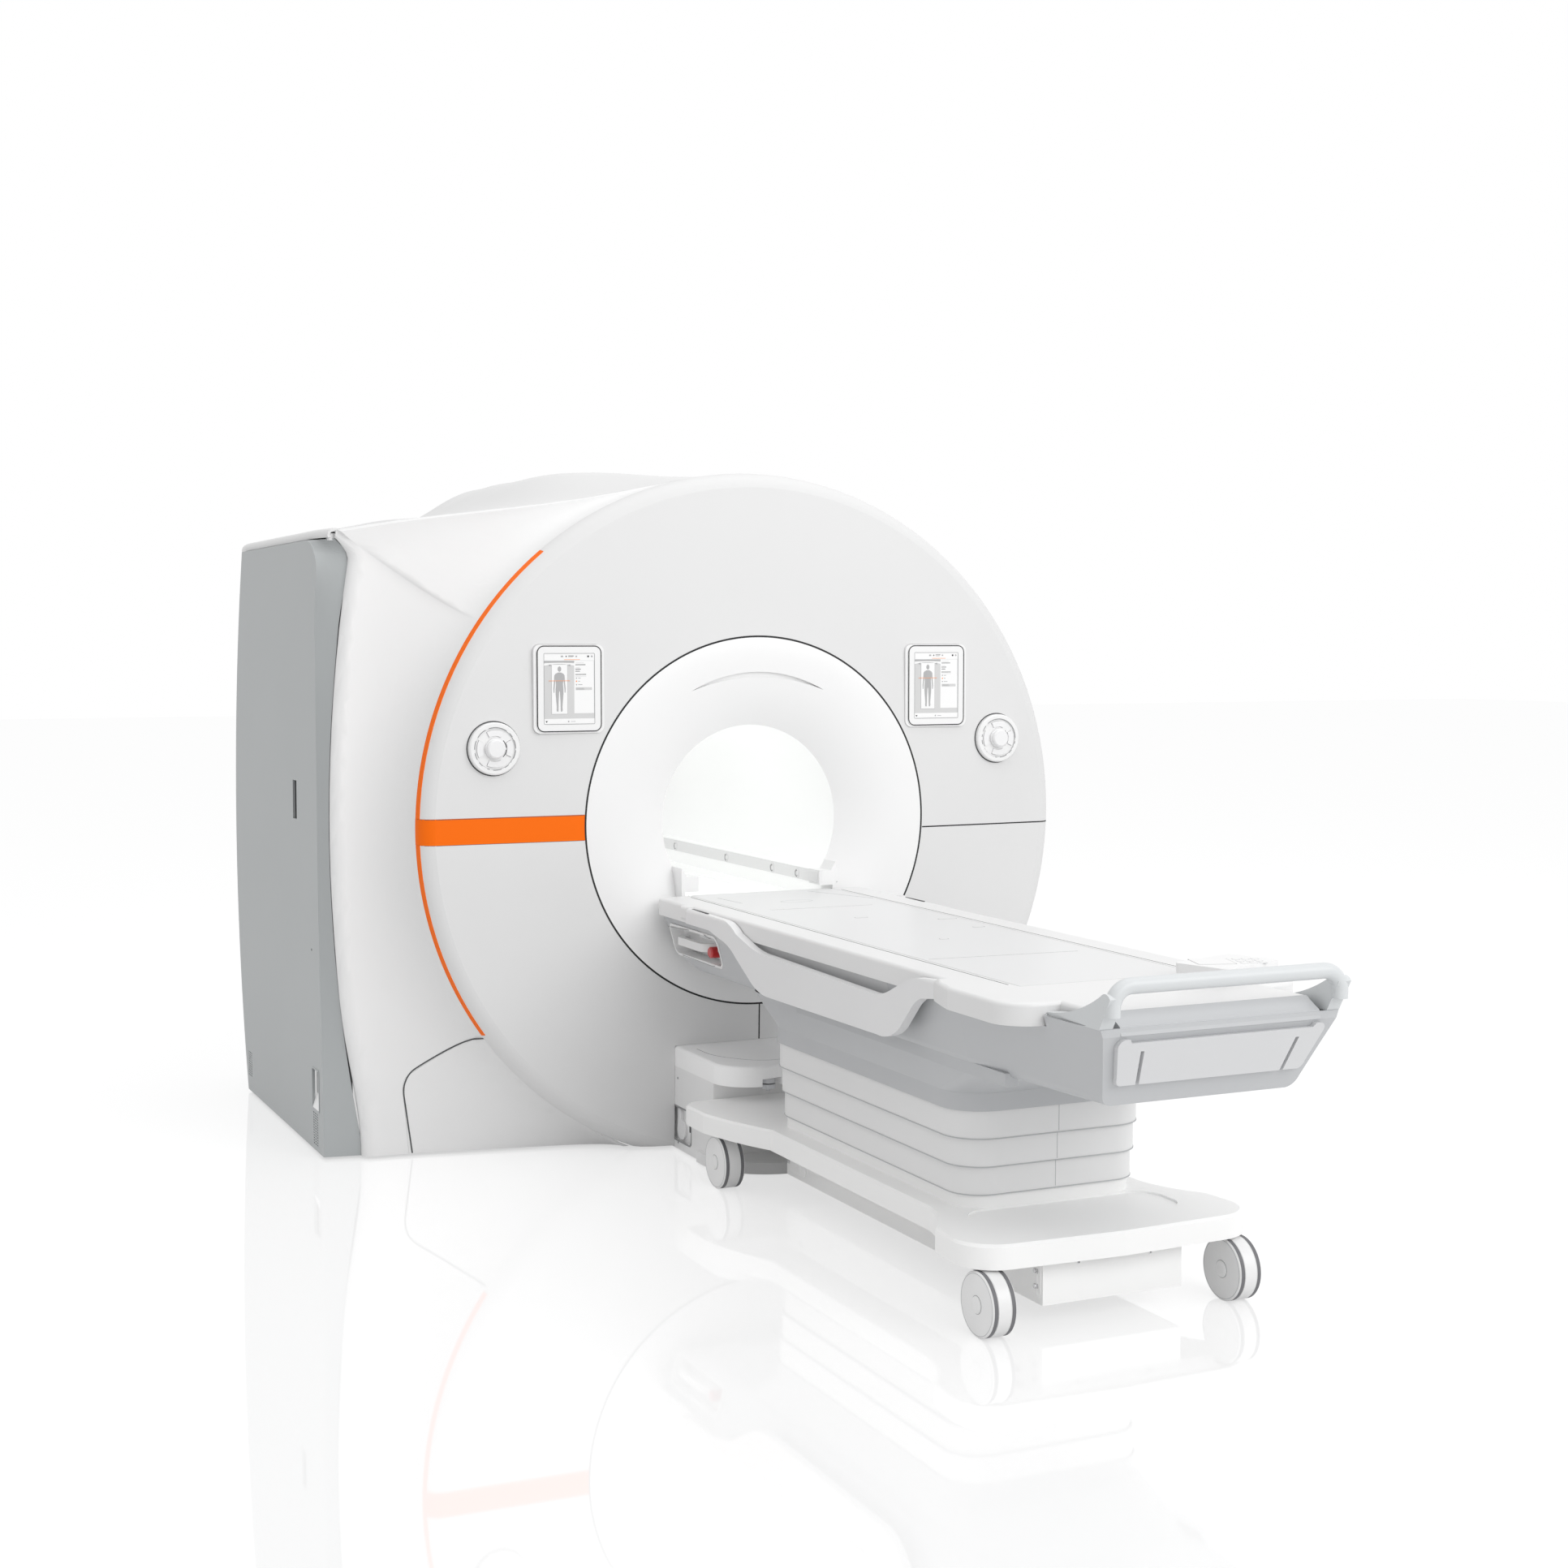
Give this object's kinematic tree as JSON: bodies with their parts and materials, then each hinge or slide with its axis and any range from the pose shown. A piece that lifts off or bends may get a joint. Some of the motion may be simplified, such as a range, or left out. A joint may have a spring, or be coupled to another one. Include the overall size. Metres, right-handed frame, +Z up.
{
  "type": "magnetic resonance imaging scanner with patient table",
  "caption": "Closed-bore magnetic resonance scanner with a docked patient table: telescoping lift, moving board, swing rails, push bar and swivel casters.",
  "frame": {"origin": "on the floor below the isocentre of the bore", "axes": "+Y into the bore from the patient table, +Z up, +X to the right seen from the table end"},
  "size_m": [2.41, 4.264, 2.168],
  "materials": {
    "cover_white": "satin",
    "disc_white": "gloss",
    "cover_grey": "satin",
    "hull_grey": "satin",
    "accent_orange": "gloss",
    "steel": "satin",
    "coil_resin": "satin",
    "frame_dark": "satin",
    "glass_screen": "gloss",
    "knob_grey": "satin",
    "stop_red": "gloss",
    "fork_grey": "satin",
    "tyre_grey": "satin"
  },
  "bodies": {
    "gantry": {"base_frame": "steel", "magnet_vessel": "steel", "gradient_coil": "coil_resin", "body_coil": "coil_resin", "cold_head": "steel", "bore_liner": "cover_white", "socket_rail": "steel", "front_ring": "cover_white", "front_cover_upper": "disc_white", "front_cover_lower_left": "disc_white", "front_cover_lower_right": "disc_white", "accent_trim": "accent_orange", "side_cover_left": "cover_white", "access_cover_left": "cover_white", "service_panel": "cover_grey", "top_cover": "cover_white", "side_cover_right": "cover_white", "rear_cover": "cover_white", "display_frames": "frame_dark", "screens": "glass_screen", "control_rings": "frame_dark", "dock_box": "cover_white", "dock_cap": "cover_grey", "latch_rollers": "frame_dark"},
    "knob_left": {"knob_left": "knob_grey"},
    "knob_right": {"knob_right": "knob_grey"},
    "dock_lever": {"dock_lever": "knob_grey"},
    "table_base": {"chassis_cover": "cover_white", "chassis_frame": "steel"},
    "tier_1": {"tier_1": "cover_white"},
    "tier_2": {"tier_2": "cover_white"},
    "tier_3": {"tier_3": "cover_white"},
    "table_top": {"hull": "hull_grey", "lift_mast": "steel", "tabletop_frame": "cover_white", "handlebar": "hull_grey", "end_panel": "cover_grey", "pull_handles": "cover_white", "remote_pad": "cover_grey"},
    "board": {"board": "hull_grey"},
    "side_rail_left": {"side_rail_left": "hull_grey"},
    "side_rail_right": {"side_rail_right": "hull_grey"},
    "stop_button_left": {"stop_button_left": "stop_red"},
    "stop_button_right": {"stop_button_right": "stop_red"},
    "button_right_top": {"button_right_top": "knob_grey"},
    "button_right_left": {"button_right_left": "knob_grey"},
    "button_right_low": {"button_right_low": "knob_grey"},
    "button_right_right": {"button_right_right": "knob_grey"},
    "button_left_top": {"button_left_top": "knob_grey"},
    "button_left_left": {"button_left_left": "knob_grey"},
    "button_left_low": {"button_left_low": "knob_grey"},
    "button_left_right": {"button_left_right": "knob_grey"},
    "caster_swivel_1": {"caster_fork_1": "fork_grey"},
    "caster_wheel_1": {"caster_wheel_1": "tyre_grey"},
    "caster_swivel_2": {"caster_fork_2": "fork_grey"},
    "caster_wheel_2": {"caster_wheel_2": "tyre_grey"},
    "caster_swivel_3": {"caster_fork_3": "fork_grey"},
    "caster_wheel_3": {"caster_wheel_3": "tyre_grey"},
    "caster_swivel_4": {"caster_fork_4": "fork_grey"},
    "caster_wheel_4": {"caster_wheel_4": "tyre_grey"}
  },
  "joints": [
    {"name": "table_dock", "type": "slide", "parent": "gantry", "child": "table_base", "axis": [0, 1, 0], "range_m": [-1.2, 0]},
    {"name": "lift", "type": "slide", "parent": "table_base", "child": "table_top", "axis": [0, 0, 1], "range_m": [-0.23, 0]},
    {"name": "tier_1_slide", "type": "slide", "parent": "table_base", "child": "tier_1", "axis": [0, 0, 1], "range_m": [-0.161, 0]},
    {"name": "tier_2_slide", "type": "slide", "parent": "table_base", "child": "tier_2", "axis": [0, 0, 1], "range_m": [-0.092, 0]},
    {"name": "tier_3_slide", "type": "slide", "parent": "table_base", "child": "tier_3", "axis": [0, 0, 1], "range_m": [-0.023, 0]},
    {"name": "board_travel", "type": "slide", "parent": "table_top", "child": "board", "axis": [0, 1, 0], "range_m": [0, 1.6]},
    {"name": "side_rail_left_swing", "type": "hinge", "parent": "table_top", "child": "side_rail_left", "pos_m": [-0.358, -2, 0.781], "axis": [0, 1, 0], "range_deg": [0, 175]},
    {"name": "side_rail_right_swing", "type": "hinge", "parent": "table_top", "child": "side_rail_right", "pos_m": [0.358, -2, 0.781], "axis": [0, -1, 0], "range_deg": [0, 175]},
    {"name": "stop_button_left_press", "type": "slide", "parent": "table_top", "child": "stop_button_left", "axis": [1, 0, 0], "range_m": [0, 0.004], "stiffness_N_per_m": 1500},
    {"name": "stop_button_right_press", "type": "slide", "parent": "table_top", "child": "stop_button_right", "axis": [-1, 0, 0], "range_m": [0, 0.004], "stiffness_N_per_m": 1500},
    {"name": "dock_lever_turn", "type": "hinge", "parent": "gantry", "child": "dock_lever", "pos_m": [-0.28, -0.931, 0.066], "axis": [1, 0, 0], "range_deg": [0, 60]},
    {"name": "knob_left_turn", "type": "hinge", "parent": "gantry", "child": "knob_left", "pos_m": [-0.866, -0.905, 1.265], "axis": [0, -1, 0], "continuous": true},
    {"name": "knob_right_turn", "type": "hinge", "parent": "gantry", "child": "knob_right", "pos_m": [0.866, -0.905, 1.265], "axis": [0, -1, 0], "continuous": true},
    {"name": "button_right_top_press", "type": "slide", "parent": "gantry", "child": "button_right_top", "axis": [0, 1, 0], "range_m": [0, 0.002], "stiffness_N_per_m": 800},
    {"name": "button_right_left_press", "type": "slide", "parent": "gantry", "child": "button_right_left", "axis": [0, 1, 0], "range_m": [0, 0.002], "stiffness_N_per_m": 800},
    {"name": "button_right_low_press", "type": "slide", "parent": "gantry", "child": "button_right_low", "axis": [0, 1, 0], "range_m": [0, 0.002], "stiffness_N_per_m": 800},
    {"name": "button_right_right_press", "type": "slide", "parent": "gantry", "child": "button_right_right", "axis": [0, 1, 0], "range_m": [0, 0.002], "stiffness_N_per_m": 800},
    {"name": "button_left_top_press", "type": "slide", "parent": "gantry", "child": "button_left_top", "axis": [0, 1, 0], "range_m": [0, 0.002], "stiffness_N_per_m": 800},
    {"name": "button_left_left_press", "type": "slide", "parent": "gantry", "child": "button_left_left", "axis": [0, 1, 0], "range_m": [0, 0.002], "stiffness_N_per_m": 800},
    {"name": "button_left_low_press", "type": "slide", "parent": "gantry", "child": "button_left_low", "axis": [0, 1, 0], "range_m": [0, 0.002], "stiffness_N_per_m": 800},
    {"name": "button_left_right_press", "type": "slide", "parent": "gantry", "child": "button_left_right", "axis": [0, 1, 0], "range_m": [0, 0.002], "stiffness_N_per_m": 800},
    {"name": "caster_swivel_1_turn", "type": "hinge", "parent": "table_base", "child": "caster_swivel_1", "pos_m": [-0.339, -1.374, 0.15], "axis": [0, 0, 1], "continuous": true},
    {"name": "caster_wheel_1_spin", "type": "hinge", "parent": "caster_swivel_1", "child": "caster_wheel_1", "pos_m": [-0.339, -1.404, 0.0765], "axis": [1, 0, 0], "continuous": true},
    {"name": "caster_swivel_2_turn", "type": "hinge", "parent": "table_base", "child": "caster_swivel_2", "pos_m": [0.339, -1.374, 0.15], "axis": [0, 0, 1], "continuous": true},
    {"name": "caster_wheel_2_spin", "type": "hinge", "parent": "caster_swivel_2", "child": "caster_wheel_2", "pos_m": [0.339, -1.404, 0.0765], "axis": [1, 0, 0], "continuous": true},
    {"name": "caster_swivel_3_turn", "type": "hinge", "parent": "table_base", "child": "caster_swivel_3", "pos_m": [-0.339, -2.885, 0.15], "axis": [0, 0, 1], "continuous": true},
    {"name": "caster_wheel_3_spin", "type": "hinge", "parent": "caster_swivel_3", "child": "caster_wheel_3", "pos_m": [-0.339, -2.915, 0.0765], "axis": [1, 0, 0], "continuous": true},
    {"name": "caster_swivel_4_turn", "type": "hinge", "parent": "table_base", "child": "caster_swivel_4", "pos_m": [0.339, -2.885, 0.15], "axis": [0, 0, 1], "continuous": true},
    {"name": "caster_wheel_4_spin", "type": "hinge", "parent": "caster_swivel_4", "child": "caster_wheel_4", "pos_m": [0.339, -2.915, 0.0765], "axis": [1, 0, 0], "continuous": true}
  ],
  "couplings": [
    {"joint": "tier_1_slide", "follows": "lift", "ratio": 0.7},
    {"joint": "tier_2_slide", "follows": "lift", "ratio": 0.4},
    {"joint": "tier_3_slide", "follows": "lift", "ratio": 0.1}
  ]
}
